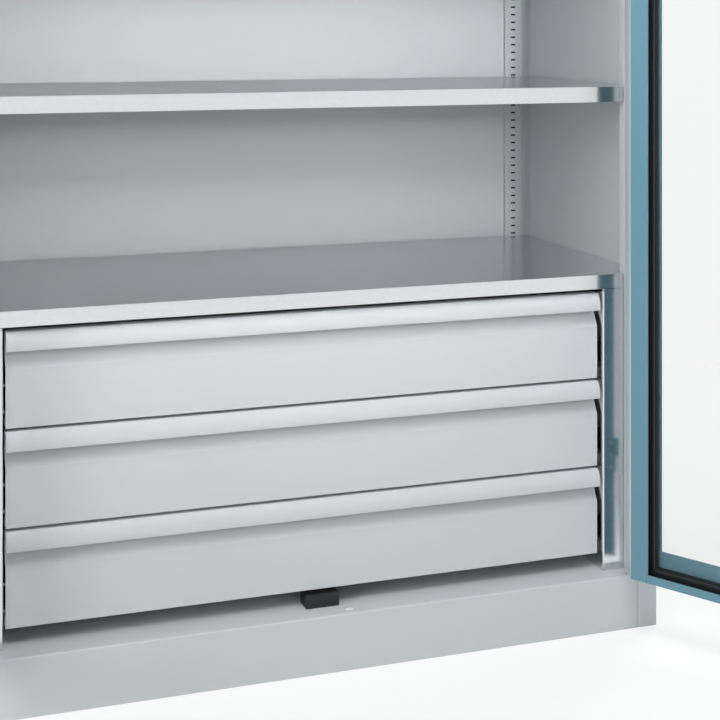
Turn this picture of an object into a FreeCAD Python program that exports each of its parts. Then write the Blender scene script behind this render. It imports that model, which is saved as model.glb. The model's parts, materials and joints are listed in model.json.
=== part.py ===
"""Heavy-duty storage cabinet: folded steel carcass, hinged doors with clear panes, adjustable
shelves and a drawer unit on telescopic slides. Millimetres, +Z up, front towards -Y, origin on
the floor under the middle of the carcass."""

import FreeCAD, Part
import math
import os
import re

import Sketcher

SIZES = {
    "body_width": 1200.0,
    "body_height": 1950.0,
    "body_depth": 500.0,
    "body_sheet": 1.2,
    "plinth_height": 92.0,
    "header_height": 36.7,
    "post_width": 36.7,
    "rebate_depth": 32.3,
    "rebate_lip": 8.8,
    "post_return": 15.0,
    "back_return": 20.0,
    "foot_return": 25.0,
    "bearer_width": 40.0,
    "fit_gap": 0.3,
    "seam_gap": 1.1,
    "post_bend": 2.4,
    "plinth_bend": 2.4,
    "rail_width": 36.2,
    "rail_depth": 8.0,
    "rear_rail_inset": 35.0,
    "front_rail_inset": 22.0,
    "slot_width": 10.1,
    "slot_height": 3.3,
    "slot_pitch": 15.5,
    "slot_first": 611.5,
    "slot_top_gap": 40.0,
    "shelf_sheet": 1.2,
    "shelf_edge": 26.6,
    "shelf_lip": 15.0,
    "shelf_side_gap": 1.5,
    "shelf_post_gap": 1.5,
    "shelf_slot_one": 19,
    "shelf_slot_two": 40,
    "shelf_slot_three": 61,
    "clip_width": 9.5,
    "clip_thick": 2.5,
    "clip_reach": 14.0,
    "clip_hook": 7.0,
    "clip_leg": 12.0,
    "cover_height": 607.0,
    "cover_edge": 24.5,
    "cover_gap": 0.9,
    "cover_seat_gap": 2.0,
    "housing_half": 512.7,
    "housing_flange": 40.3,
    "housing_sheet": 1.2,
    "housing_bend": 3.2,
    "housing_return": 12.0,
    "housing_rear_gap": 8.0,
    "relief_width": 3.4,
    "relief_height": 2.2,
    "relief_radius": 1.2,
    "relief_drop": 2.6,
    "drawer_count": 3,
    "drawer_top": 574.0,
    "drawer_pitch": 153.0,
    "drawer_height": 148.5,
    "drawer_side_gap": 4.8,
    "drawer_setback": 11.2,
    "front_sheet": 1.2,
    "grip_height": 29.0,
    "grip_bulge": 11.4,
    "grip_radius": 31.6,
    "grip_belly": 22.5,
    "grip_hem": 6.0,
    "recess_depth": 13.8,
    "recess_shoulder": 32.0,
    "recess_foot": 58.5,
    "front_lip": 14.0,
    "box_sheet": 1.0,
    "box_height": 100.0,
    "box_length": 400.0,
    "box_rise": 10.0,
    "slide_height": 45.0,
    "slide_width": 12.7,
    "slide_sheet": 1.2,
    "slide_length": 400.0,
    "slide_rise": 20.0,
    "door_open": 121.7,
    "door_sheet": 1.0,
    "door_thick": 31.0,
    "door_setback": 1.0,
    "door_bottom_gap": 5.0,
    "door_top_gap": 5.3,
    "door_side_gap": 3.0,
    "door_centre_gap": 2.0,
    "door_flange": 31.6,
    "door_flange_low": 13.9,
    "flange_notch": 3.2,
    "flange_seam": 0.5,
    "window_inset": 42.0,
    "window_inset_low": 48.0,
    "window_inset_lock": 80.0,
    "ring_inset": 21.7,
    "ring_inset_low": 6.3,
    "ring_inset_lock": 60.0,
    "ring_width": 16.0,
    "ring_height": 9.0,
    "pane_thick": 4.0,
    "pane_cover": 5.3,
    "hinge_out": 4.0,
    "hinge_count": 3,
    "hinge_length": 60.0,
    "hinge_end": 150.0,
    "knuckle_radius": 3.8,
    "knuckle_share": 30.0,
    "knuckle_cap": 2.5,
    "pin_radius": 2.5,
    "pin_clear": 0.05,
    "leaf_sheet": 1.2,
    "leaf_reach": 19.0,
    "stop_width": 56.4,
    "stop_depth": 33.0,
    "stop_height": 22.0,
    "stop_gap": 2.7,
    "rod_inset": 38.9,
    "rod_depth": 13.7,
    "rod_radius": 4.0,
    "rod_clear": 0.5,
    "rod_proud": 1.5,
    "rod_hole_length": 15.0,
    "rod_hole_width": 11.0,
    "vent_inset": 54.3,
    "vent_setback": 9.7,
    "vent_radius": 2.5,
    "handle_height": 1000.0,
    "plate_width": 36.0,
    "plate_height": 130.0,
    "plate_drop": 52.0,
    "plate_thick": 6.0,
    "case_half": 11.0,
    "case_drop": 14.0,
    "case_rise": 62.0,
    "case_depth": 12.0,
    "case_clear": 0.5,
    "spindle_radius": 6.0,
    "spindle_square": 8.0,
    "hub_radius": 14.0,
    "hub_length": 16.0,
    "lever_length": 105.0,
    "lever_width": 18.0,
    "lever_thick": 9.0,
    "cam_reach": 17.0,
    "cam_half": 9.0,
    "cam_thick": 3.0,
    "crank_radius": 12.0,
    "crank_pin": 2.5,
    "crank_angle": 45.0,
    "yoke_thick": 3.0,
    "yoke_wall": 3.2,
    "yoke_play": 0.45,
    "yoke_arm": 4.0,
    "yoke_root": 3.0,
    "yoke_rise": 30.0,
    "plug_radius": 7.0,
    "plug_rise": 50.0,
    "plug_proud": 2.0,
    "key_width": 2.0,
    "key_length": 8.0,
    "key_depth": 6.0,
    "guide_count": 2,
    "guide_width": 16.0,
    "guide_height": 10.0,
    "astragal_cover": 14.0,
    "astragal_sheet": 1.2,
}

document = FreeCAD.newDocument("StorageCabinet")
sizes = document.addObject("Spreadsheet::Sheet", "Sizes")
for row, (alias, size) in enumerate(SIZES.items(), start=1):
    sizes.set(f"A{row}", alias)
    sizes.set(f"B{row}", str(size))
    sizes.setAlias(f"B{row}", alias)
document.recompute()

# Places that several pieces share, as expressions of the cells above
HALF = "(body_width / 2)"
FRONT = "(-body_depth / 2)"
BACK = "(body_depth / 2)"
WALL = "(body_width / 2 - body_sheet)"
BACK_WALL = "(body_depth / 2 - body_sheet)"
LINER = "(body_width / 2 - 2 * body_sheet)"
FLOOR = "plinth_height"
ROOF = "(body_height - body_sheet)"
SOFFIT = "(body_height - header_height)"
JAMB = "(body_width / 2 - post_width)"
POST_EDGE = "(body_width / 2 - post_width - rebate_lip)"
REBATE = "(rebate_depth - body_depth / 2)"
POST_BACK = "(rebate_depth + post_return - body_depth / 2)"
RAIL_FACE = "(body_depth / 2 - body_sheet - rail_depth)"
FRONT_RAIL_FACE = "(rebate_depth + post_return + rail_depth - body_depth / 2)"
SHELF_BACK = "(body_depth / 2 - body_sheet - rail_depth - fit_gap)"
SHELF_NOTCH = "(rebate_depth + post_return + rail_depth + fit_gap - body_depth / 2)"
FLANGE_TOP = "(cover_height - cover_edge - cover_gap)"
SEAM = "(body_width / 2 - post_width - seam_gap)"

FACE = "(rebate_depth + drawer_setback - body_depth / 2)"
RECESS = "(rebate_depth + drawer_setback + recess_depth - body_depth / 2)"
BOX_FRONT = "(rebate_depth + drawer_setback + recess_depth + front_sheet - body_depth / 2)"
DRAWER_HALF = "(housing_half - drawer_side_gap)"
BOX_HALF = "(housing_half - slide_width)"
GRIP_Y = "(rebate_depth + drawer_setback - grip_bulge + grip_radius - body_depth / 2)"

# The doors are drawn shut, from the hinge axis: x towards the jamb, y towards the back
HINGE_Y = "(-body_depth / 2 - hinge_out)"
DOOR_FACE = "(hinge_out + door_setback)"
DOOR_LINING = "(hinge_out + door_setback + door_sheet)"
DOOR_REAR = "(hinge_out + door_setback + door_thick)"
DOOR_EDGE = "(-door_side_gap)"
DOOR_FREE = "(door_centre_gap / 2 - body_width / 2 + post_width)"
DOOR_FOOT = "(plinth_height + door_bottom_gap)"
DOOR_HEAD = "(body_height - header_height - door_top_gap)"
ROD_X = "(door_centre_gap / 2 - body_width / 2 + post_width + rod_inset)"
ROD_Y = "(hinge_out + door_setback + door_thick - rod_depth)"
YOKE_Y = "(hinge_out + door_setback + door_thick - rod_depth - yoke_thick / 2)"
CAM_Y = "(hinge_out + door_setback + door_thick - rod_depth - yoke_thick / 2 - fit_gap - cam_thick)"
THROW = "(crank_radius * sin(crank_angle))"

NORMAL_SIGN = {"XY_Plane": 1, "XZ_Plane": -1, "YZ_Plane": 1}
parts = []


def tied(text):
    """The expression with each alias read from the sheet."""
    return re.sub(r"[a-z_]+", lambda word: f"Sizes.{word[0]}" if word[0] in SIZES else word[0], text)


def number(text):
    return float(sizes.evalExpression(tied(str(text))))


def tie(thing, **places):
    """Binds properties of a thing; two underscores stand for a dot."""
    for path, text in places.items():
        thing.setExpression(path.replace("__", "."), tied(str(text)))
    return thing


def origin_part(body, role):
    return next(item for item in body.Origin.OriginFeatures if item.Role == role)


def new_body(label):
    body = document.addObject("PartDesign::Body", label)
    body.Label = label
    return body


def new_sketch(body, name, role, at):
    sketch = body.newObject("Sketcher::SketchObject", name)
    sketch.AttachmentSupport = (origin_part(body, role), "")
    sketch.MapMode = "FlatFace"
    sign = "-" if NORMAL_SIGN[role] < 0 else ""
    return tie(sketch, AttachmentOffset__Base__z=f"{sign}({at})")


def fix_point(sketch, geometry, end, point):
    """Holds a point of the sketch at a bound place from the sketch's origin."""
    for kind, text in zip(("DistanceX", "DistanceY"), point):
        index = sketch.addConstraint(Sketcher.Constraint(kind, -1, 1, geometry, end, number(text)))
        sketch.setExpression(f"Constraints[{index}]", tied(str(text)))


def draw_outline(sketch, path):
    """A closed outline: each item is the point where a stretch ends, as (u, v) after a straight
    one and as (u, v, radius, turn) after an arc that turns left (1) or right (-1)."""
    first = sketch.GeometryCount
    corners = [(number(item[0]), number(item[1])) for item in path]
    count = len(path)
    tails, heads = [], []
    for index in range(count):
        after = (index + 1) % count
        start, end, step = corners[index], corners[after], path[after]
        if len(step) == 2:
            line = Part.LineSegment(FreeCAD.Vector(*start, 0), FreeCAD.Vector(*end, 0))
            sketch.addGeometry(line, False)
        else:
            sketch.addGeometry(arc_between(start, end, number(step[2]), step[3]), False)
        turned = len(step) > 2 and step[3] < 0
        tails.append(2 if turned else 1)
        heads.append(1 if turned else 2)
    for index, item in enumerate(path):
        after = (index + 1) % count
        joint = (first + index, heads[index], first + after, tails[after])
        sketch.addConstraint(Sketcher.Constraint("Coincident", *joint))
        fix_point(sketch, first + index, tails[index], item)
        if len(path[after]) > 2:
            fix_radius(sketch, first + index, path[after][2])


def fix_radius(sketch, geometry, radius):
    index = sketch.addConstraint(Sketcher.Constraint("Radius", geometry, number(radius)))
    sketch.setExpression(f"Constraints[{index}]", tied(str(radius)))


def arc_centre(start, end, radius, turn):
    """Centre of the arc of less than half a circle between two points."""
    half = math.dist(start, end) / 2
    along = ((end[0] - start[0]) / (2 * half), (end[1] - start[1]) / (2 * half))
    reach = turn * math.sqrt(radius**2 - half**2)
    return ((start[0] + end[0]) / 2 - reach * along[1], (start[1] + end[1]) / 2 + reach * along[0])


def arc_between(start, end, radius, turn):
    """The arc as the sketcher holds it, which always runs to the left."""
    centre = arc_centre(start, end, radius, turn)
    first, last = (start, end) if turn > 0 else (end, start)
    angles = [math.atan2(point[1] - centre[1], point[0] - centre[0]) for point in (first, last)]
    circle = Part.Circle(FreeCAD.Vector(*centre, 0), FreeCAD.Vector(0, 0, 1), radius)
    return Part.ArcOfCircle(circle, *angles)


def draw_circle(sketch, centre, radius):
    middle = FreeCAD.Vector(number(centre[0]), number(centre[1]), 0)
    circle = Part.Circle(middle, FreeCAD.Vector(0, 0, 1), number(radius))
    index = sketch.addGeometry(circle, False)
    fix_point(sketch, index, 3, centre)
    fix_radius(sketch, index, radius)


def draw_oblong(sketch, centre, length, width):
    """A slot with round ends, its length along the sketch's first axis."""
    u, v, reach = number(centre[0]), number(centre[1]), number(f"({length} - {width}) / 2")
    radius = number(f"{width} / 2")
    up = FreeCAD.Vector(0, 0, 1)
    ends = []
    for side, start in ((1, -math.pi / 2), (-1, math.pi / 2)):
        round_end = Part.Circle(FreeCAD.Vector(u + side * reach, v, 0), up, radius)
        arc = Part.ArcOfCircle(round_end, start, start + math.pi)
        index = sketch.addGeometry(arc, False)
        fix_point(sketch, index, 3, (f"{centre[0]} + {side} * ({length} - {width}) / 2", centre[1]))
        ends.append(index)
    right, left = ends
    for side, (tail, head) in ((1, (right, left)), (-1, (left, right))):
        start = FreeCAD.Vector(u + side * reach, v + side * radius, 0)
        finish = FreeCAD.Vector(u - side * reach, v + side * radius, 0)
        line = sketch.addGeometry(Part.LineSegment(start, finish), False)
        sketch.addConstraint(Sketcher.Constraint("Tangent", tail, 2, line, 1))
        sketch.addConstraint(Sketcher.Constraint("Tangent", line, 2, head, 1))
    fix_radius(sketch, right, f"({width}) / 2")
    sketch.addConstraint(Sketcher.Constraint("Equal", right, left))


def rectangle(left, right, low, high):
    return [(left, low), (right, low), (right, high), (left, high)]


def bend(corner, arriving, leaving, radius):
    """A rounded right-angle bend at a corner of a path, between two axis directions."""
    u, v = corner
    turn = arriving[0] * leaving[1] - arriving[1] * leaving[0]
    return [
        (f"{u} - ({arriving[0]}) * {radius}", f"{v} - ({arriving[1]}) * {radius}"),
        (f"{u} + ({leaving[0]}) * {radius}", f"{v} + ({leaving[1]}) * {radius}", radius, turn),
    ]


def fold(path, sheet, side):
    """Outline of a folded sheet: its visible face, and the other face on the left (1) or right
    (-1) of it, with mitred corners and bends about the same centres."""
    corners = [(number(item[0]), number(item[1])) for item in path]
    normals = [stretch_normals(*stretch) for stretch in zip(corners, corners[1:], path[1:])]
    arriving = [normals[0][0]] + [last for _, last in normals]
    leaving = [first for first, _ in normals] + [normals[-1][1]]
    inner = []
    for item, before, after in zip(path, arriving, leaving):
        mitre = 1 + before[0] * after[0] + before[1] * after[1]
        across = side * (before[0] + after[0]) / mitre
        up = side * (before[1] + after[1]) / mitre
        inner.append((f"{item[0]} + {across:.6f} * {sheet}", f"{item[1]} + {up:.6f} * {sheet}"))
    back = [inner[-1]]
    for item, point in zip(path[:0:-1], inner[-2::-1]):
        if len(item) == 2:
            back.append(point)
        else:
            back.append((*point, f"({item[2]} - {side * item[3]} * {sheet})", -item[3]))
    return list(path) + back


def stretch_normals(start, end, step):
    """Unit vectors to the left of a stretch, at its start and at its end."""
    if len(step) == 2:
        length = math.dist(start, end)
        normal = ((start[1] - end[1]) / length, (end[0] - start[0]) / length)
        return normal, normal
    radius, turn = number(step[2]), step[3]
    centre = arc_centre(start, end, radius, turn)
    return [tuple(turn * (c - p) / radius for c, p in zip(centre, point)) for point in (start, end)]


def pad(sketch, length, symmetric=False):
    """A pad from the sketch along the positive axis, or to both sides."""
    body = sketch.getParentGeoFeatureGroup()
    feature = body.newObject("PartDesign::Pad", f"{body.Name}_pad")
    feature.Profile = sketch
    feature.SideType = "Symmetric" if symmetric else "One side"
    feature.Reversed = NORMAL_SIGN[origin_role(sketch)] < 0
    return tie(feature, Length=length)


def pocket(sketch, length, symmetric=False):
    """A pocket from the sketch along the positive axis, or to both sides."""
    body = sketch.getParentGeoFeatureGroup()
    feature = body.newObject("PartDesign::Pocket", f"{body.Name}_pocket")
    feature.Profile = sketch
    feature.SideType = "Symmetric" if symmetric else "One side"
    feature.Reversed = NORMAL_SIGN[origin_role(sketch)] > 0
    return tie(feature, Length=length)


def origin_role(sketch):
    return sketch.AttachmentSupport[0][0].Role


def sketched(body, role, at, points):
    sketch = new_sketch(body, f"{body.Name}_sketch", role, at)
    draw_outline(sketch, points)
    return sketch


def sketched_circle(body, role, at, centre, radius):
    sketch = new_sketch(body, f"{body.Name}_circle", role, at)
    draw_circle(sketch, centre, radius)
    return sketch


def plank(body, x, y, z):
    """A rectangular pad between pairs of places along each axis."""
    sketch = sketched(body, "XY_Plane", z[0], rectangle(x[0], x[1], y[0], y[1]))
    return pad(sketch, f"{z[1]} - ({z[0]})")


def cavity(body, x, y, z):
    """A rectangular pocket between pairs of places along each axis."""
    sketch = sketched(body, "XY_Plane", z[0], rectangle(x[0], x[1], y[0], y[1]))
    return pocket(sketch, f"{z[1]} - ({z[0]})")


def finish(thing, label):
    thing.Label = label
    parts.append(thing)
    return thing


def mirror(thing, label):
    """The same piece on the left of the cabinet."""
    twin = document.addObject("Part::Mirroring", label)
    twin.Source = thing
    twin.Normal = FreeCAD.Vector(1, 0, 0)
    return finish(twin, label)


def both_sides(thing, name):
    """Keeps the right-hand piece and adds its mirror image."""
    finish(thing, f"{name}_right")
    mirror(thing, f"{name}_left")


def hang(thing):
    """Swings a door piece about its hinge axis to the open rest position."""
    tie(thing, Placement__Base__x=JAMB, Placement__Base__y=HINGE_Y, Placement__Rotation__Angle="door_open")
    return thing


def side_panel():
    """The wall with its front post: flange, jamb, rebate face and closing return in one sheet."""
    body = new_body("side_panel")
    path = [
        (f"{WALL} - fit_gap", POST_BACK),
        (POST_EDGE, POST_BACK),
        *bend((POST_EDGE, REBATE), (0, -1), (1, 0), "post_bend"),
        (JAMB, REBATE),
        *bend((JAMB, FRONT), (0, -1), (1, 0), "post_bend"),
        *bend((HALF, FRONT), (1, 0), (0, 1), "post_bend"),
        (HALF, BACK),
    ]
    pad(sketched(body, "XY_Plane", 0, fold(path, "body_sheet", 1)), ROOF)
    both_sides(body, "side_panel")


def back_panel():
    body = new_body("back_panel")
    path = [
        (f"-{WALL}", f"{BACK} - back_return"),
        (f"-{WALL}", BACK),
        (WALL, BACK),
        (WALL, f"{BACK} - back_return"),
    ]
    pad(sketched(body, "XY_Plane", 0, fold(path, "body_sheet", -1)), ROOF)
    finish(body, "back_panel")


def top_panel():
    """The roof, folded down into the header with the rebate that the doors close against."""
    body = new_body("top_panel")
    plank(body, (f"-{HALF}", HALF), (FRONT, BACK), (ROOF, "body_height"))
    header = [(FRONT, ROOF), *bend((FRONT, SOFFIT), (0, -1), (1, 0), "post_bend"), (REBATE, SOFFIT)]
    pad(sketched(body, "YZ_Plane", 0, fold(header, "body_sheet", 1)), f"2 * {SEAM}", True)
    lip = [
        (REBATE, f"{SOFFIT} + body_sheet"),
        (REBATE, f"{SOFFIT} - rebate_lip"),
        (POST_BACK, f"{SOFFIT} - rebate_lip"),
    ]
    pad(sketched(body, "YZ_Plane", 0, fold(lip, "body_sheet", 1)), f"2 * {POST_EDGE}", True)
    rod_hole(body, SOFFIT)
    finish(body, "top_panel")


def rod_hole(body, low):
    """The oblong keep for a locking rod, through a sheet whose lower face is given."""
    sketch = new_sketch(body, f"{body.Name}_keep", "XY_Plane", low)
    centre = (f"{JAMB} + {ROD_X}", f"{HINGE_Y} + {ROD_Y}")
    draw_oblong(sketch, centre, "rod_hole_length", "rod_hole_width")
    pocket(sketch, "body_sheet")


def base():
    """The floor, folded down in front into the plinth, which stops short of the posts' seams."""
    body = new_body("base")
    lead = f"{FRONT} + plinth_bend"
    right = [(SEAM, lead), (SEAM, REBATE), (POST_EDGE, REBATE), (POST_EDGE, POST_BACK)]
    right += [(LINER, POST_BACK), (LINER, BACK_WALL)]
    left = [(f"-{x}", y) for x, y in reversed(right)]
    floor_low = f"({FLOOR} - body_sheet)"
    pad(sketched(body, "XY_Plane", floor_low, right + left), "body_sheet")
    plinth = [
        (f"{FRONT} + foot_return", FLOOR),
        *bend((FRONT, FLOOR), (-1, 0), (0, -1), "plinth_bend"),
        (FRONT, "0"),
        (f"{FRONT} + foot_return", "0"),
    ]
    pad(sketched(body, "YZ_Plane", 0, fold(plinth, "body_sheet", 1)), f"2 * {SEAM}", True)
    rod_hole(body, floor_low)
    dot = (f"{HALF} - vent_inset", f"{FRONT} + vent_setback")
    pocket(sketched_circle(body, "XY_Plane", floor_low, dot, "vent_radius"), "body_sheet")
    finish(body, "base")


def plinth_members():
    """The channels under the floor: one along the back and one from front to back."""
    rear = new_body("plinth_rear")
    under = f"({FLOOR} - body_sheet)"
    inner = f"({BACK_WALL} - foot_return)"
    path = [(inner, under), (BACK_WALL, under), (BACK_WALL, "0"), (inner, "0")]
    pad(sketched(rear, "YZ_Plane", 0, fold(path, "body_sheet", -1)), f"2 * {LINER}", True)
    finish(rear, "plinth_rear")

    bearer = new_body("plinth_bearer")
    edge = "(bearer_width / 2)"
    path = [(edge, under), (f"-{edge}", under), (f"-{edge}", "0"), (edge, "0")]
    start = f"({FRONT} + foot_return)"
    section = sketched(bearer, "XZ_Plane", start, fold(path, "body_sheet", 1))
    pad(section, f"{inner} - {start}")
    finish(bearer, "plinth_bearer")


def slotted_rail(label, centre, seat, face, low):
    """A shallow channel from its seat to its face, with a ladder of slots up the face."""
    body = new_body(label)
    left, right = f"({centre} - rail_width / 2)", f"({centre} + rail_width / 2)"
    side = 1 if number(face) < number(seat) else -1
    path = [(left, seat), (left, face), (right, face), (right, seat)]
    pad(sketched(body, "XY_Plane", low, fold(path, "body_sheet", side)), f"{ROOF} - {low}")
    slot = rectangle(
        f"{centre} - slot_width / 2",
        f"{centre} + slot_width / 2",
        "slot_first - slot_height / 2",
        "slot_first + slot_height / 2",
    )
    cut = pocket(sketched(body, "XZ_Plane", face, slot), "4 * body_sheet", True)
    ladder = body.newObject("PartDesign::LinearPattern", f"{label}_ladder")
    ladder.Originals = [cut]
    ladder.Direction = (origin_part(body, "Z_Axis"), [""])
    ladder.Mode = "Spacing"
    count = f"floor(({SOFFIT} - slot_top_gap - slot_first) / slot_pitch) + 1"
    tie(ladder, Occurrences=count, Offset="slot_pitch")
    body.Tip = ladder
    return body


def rails():
    rear = slotted_rail("rail_rear", f"({HALF} - rear_rail_inset)", BACK_WALL, RAIL_FACE, FLOOR)
    both_sides(rear, "rail_rear")
    centre = f"({HALF} - front_rail_inset)"
    front = slotted_rail("rail_front", centre, POST_BACK, FRONT_RAIL_FACE, FLOOR)
    both_sides(front, "rail_front")


def shelf(label, top, edge):
    """A tray turned down all round, notched at the front for the posts."""
    body = new_body(label)
    foot = f"({top} - {edge})"
    path = [
        (f"{REBATE} + shelf_lip", foot),
        (REBATE, foot),
        (REBATE, top),
        (SHELF_BACK, top),
        (SHELF_BACK, foot),
        (f"{SHELF_BACK} - shelf_lip", foot),
    ]
    end = f"({WALL} - shelf_side_gap)"
    pad(sketched(body, "YZ_Plane", 0, fold(path, "shelf_sheet", -1)), f"2 * {end}", True)
    for side in ("", "-"):
        inner = f"{side}({WALL} - shelf_side_gap - shelf_sheet)"
        outer = f"{side}{end}"
        low, high = sorted((inner, outer), key=number)
        plank(body, (low, high), (SHELF_NOTCH, SHELF_BACK), (foot, top))
    post_side = f"({POST_EDGE} - shelf_post_gap)"
    beyond = f"({HALF})"
    for low, high in ((post_side, beyond), (f"-{beyond}", f"-{post_side}")):
        cavity(body, (low, high), (f"{REBATE} - shelf_lip", SHELF_NOTCH), (foot, top))
    return finish(body, label)


def clip_outline(face, outward, top):
    """A shelf clip seen from the side: plate through the slot, hook behind, gusset in front."""
    def at(reach, height):
        return (f"{face} + {outward} * ({reach})", f"{top} - ({height})")

    return [
        at("clip_reach", 0),
        at("-body_sheet - fit_gap - clip_thick", 0),
        at("-body_sheet - fit_gap - clip_thick", "clip_hook"),
        at("-body_sheet - fit_gap", "clip_hook"),
        at("-body_sheet - fit_gap", "clip_thick"),
        at("fit_gap", "clip_thick"),
        at("fit_gap", "clip_leg"),
        at("fit_gap + clip_thick", "clip_leg"),
        at("clip_reach", "clip_thick"),
    ]


def clips(label, top):
    """The four clips of a shelf, hooked into the front and rear rails."""
    places = (
        (RAIL_FACE, -1, "rear_rail_inset"),
        (FRONT_RAIL_FACE, 1, "front_rail_inset"),
    )
    shapes = []
    for face, outward, inset in places:
        for side in (1, -1):
            body = new_body(f"{label}_clip")
            outline = clip_outline(face, outward, top)
            sketch = sketched(body, "YZ_Plane", f"{side} * ({HALF} - {inset})", outline)
            pad(sketch, "clip_width", True)
            shapes.append(body)
    group = document.addObject("Part::Compound", label)
    group.Links = shapes
    finish(group, label)


def shelves():
    for index, slot in enumerate(("shelf_slot_one", "shelf_slot_two", "shelf_slot_three"), start=1):
        seat = f"(slot_first + {slot} * slot_pitch + slot_height / 2 - fit_gap)"
        shelf(f"shelf_{index}", f"({seat[1:-1]} + shelf_edge)", "shelf_edge")
        clips(f"shelf_clips_{index}", seat)
    shelf("drawer_cover", "cover_height", "cover_edge")


def housing():
    """A side of the drawer unit: flange beside the drawers, wall for the slides, and a raised
    middle that carries the cover from inside."""
    body = new_body("housing_side")
    outer = "(housing_half + housing_flange)"
    rear = f"({SHELF_BACK} - housing_rear_gap)"
    path = [
        (outer, f"{REBATE} + housing_return"),
        (outer, REBATE),
        *bend(("housing_half", REBATE), (-1, 0), (0, 1), "housing_bend"),
        ("housing_half", rear),
    ]
    wall = fold(path, "housing_sheet", -1)
    pad(sketched(body, "XY_Plane", FLOOR, wall), f"{FLANGE_TOP} - {FLOOR}")
    wall_x = ("housing_half", "(housing_half + housing_sheet)")
    clear = "(shelf_lip + cover_seat_gap)"
    seat = ("(cover_height - shelf_sheet)", FLANGE_TOP)
    plank(body, wall_x, (f"({REBATE} + {clear})", f"({SHELF_BACK} - {clear})"), seat[::-1])
    corner_x = ("housing_half", "housing_half + relief_width")
    corner_y = (f"{REBATE} - fit_gap", f"{REBATE} + relief_width")
    cavity(body, corner_x, corner_y, (FLOOR, f"{FLOOR} + relief_height"))
    hole = ("housing_half + relief_width / 2", f"{FLANGE_TOP} - relief_drop")
    drilled = sketched_circle(body, "XZ_Plane", f"{REBATE} - fit_gap", hole, "relief_radius")
    pocket(drilled, "housing_bend + fit_gap")
    both_sides(body, "housing_side")


def drawer_level(index):
    """Top of a drawer front, counted from the top drawer."""
    return f"(drawer_top - {index} * drawer_pitch)"


def drawer_front(index):
    """One sheet: lip under the box, flat face, shoulder back into the finger recess, then over
    and down into the rounded grip with its turned-in hem."""
    top = drawer_level(index)
    label = f"drawer_front_{index + 1}"
    body = new_body(label)
    low = f"({top} - grip_height)"
    crown = f"({GRIP_Y} - sqrt(grip_radius ^ 2 - grip_belly ^ 2))"
    nose = f"({GRIP_Y} - sqrt(grip_radius ^ 2 - (grip_height - grip_belly) ^ 2))"
    path = [
        (BOX_FRONT, f"{top} - drawer_height + front_lip"),
        (BOX_FRONT, f"{top} - drawer_height"),
        (FACE, f"{top} - drawer_height"),
        (FACE, f"{top} - recess_foot"),
        (RECESS, f"{top} - recess_shoulder"),
        (RECESS, f"{top} - front_sheet"),
    ]
    lip_side = fold(path, "front_sheet", -1)
    grip = [
        (BOX_FRONT, top),
        (crown, top),
        (nose, low, "grip_radius", 1),
        (f"{nose} + grip_hem", low),
        (f"{nose} + grip_hem", f"{low} + grip_hem"),
    ]
    pad(sketched(body, "YZ_Plane", 0, lip_side), f"2 * {DRAWER_HALF}", True)
    pad(sketched(body, "YZ_Plane", 0, fold(grip, "front_sheet", 1)), f"2 * {DRAWER_HALF}", True)
    finish(body, label)


def drawer_box(index):
    """An open steel tray behind the front."""
    top = drawer_level(index)
    label = f"drawer_box_{index + 1}"
    body = new_body(label)
    low = f"({top} - drawer_height + box_rise)"
    rear = f"({BOX_FRONT} + box_length)"
    plank(body, (f"-{BOX_HALF}", BOX_HALF), (BOX_FRONT, rear), (low, f"({low} + box_height)"))
    inner = f"({BOX_HALF} - box_sheet)"
    depth = (f"({BOX_FRONT} + box_sheet)", f"({rear} - box_sheet)")
    cavity(body, (f"-{inner}", inner), depth, (f"({low} + box_sheet)", f"({low} + box_height)"))
    finish(body, label)


def slide_section(web, outward, height, reach, low):
    """A channel lying on its side: web at one place, flanges towards the other."""
    mouth = f"({web} + {outward} * ({reach}))"
    path = [(mouth, low), (web, low), (web, f"{low} + {height}"), (mouth, f"{low} + {height}")]
    return fold(path, "slide_sheet", -1 if outward > 0 else 1)


def slide_member(label, section):
    body = new_body(label)
    pad(sketched(body, "XZ_Plane", BOX_FRONT, section), "slide_length")
    return body


def slides(index):
    """Telescopic slides: fixed channel on the housing, floating channel, drawer channel."""
    low = f"({drawer_level(index)} - drawer_height + slide_rise)"
    step = "(slide_sheet + fit_gap)"
    level = index + 1

    fixed = slide_section("housing_half", -1, "slide_height", f"slide_width - 2 * {step}", low)
    rail = slide_member(f"slide_fixed_{level}", fixed)
    both_sides(rail, f"slide_fixed_{level}")

    web = f"(housing_half - {step})"
    height = f"(slide_height - 2 * {step})"
    reach = f"slide_width - 2 * {step}"
    floating = slide_section(web, -1, height, reach, f"({low} + {step})")
    pair(f"slide_floating_{level}", floating)

    height = f"(slide_height - 4 * {step})"
    moving = slide_section(BOX_HALF, 1, height, f"slide_width - 2 * {step}", f"({low} + 2 * {step})")
    pair(f"slide_drawer_{level}", moving)


def pair(label, section):
    """The right and left members of a slide as one node."""
    member = slide_member(f"{label}_member", section)
    twin = document.addObject("Part::Mirroring", f"{label}_twin")
    twin.Source = member
    twin.Normal = FreeCAD.Vector(1, 0, 0)
    group = document.addObject("Part::Compound", label)
    group.Links = [member, twin]
    finish(group, label)


def drawers():
    for index in range(int(number("drawer_count"))):
        drawer_front(index)
        drawer_box(index)
        slides(index)


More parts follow.
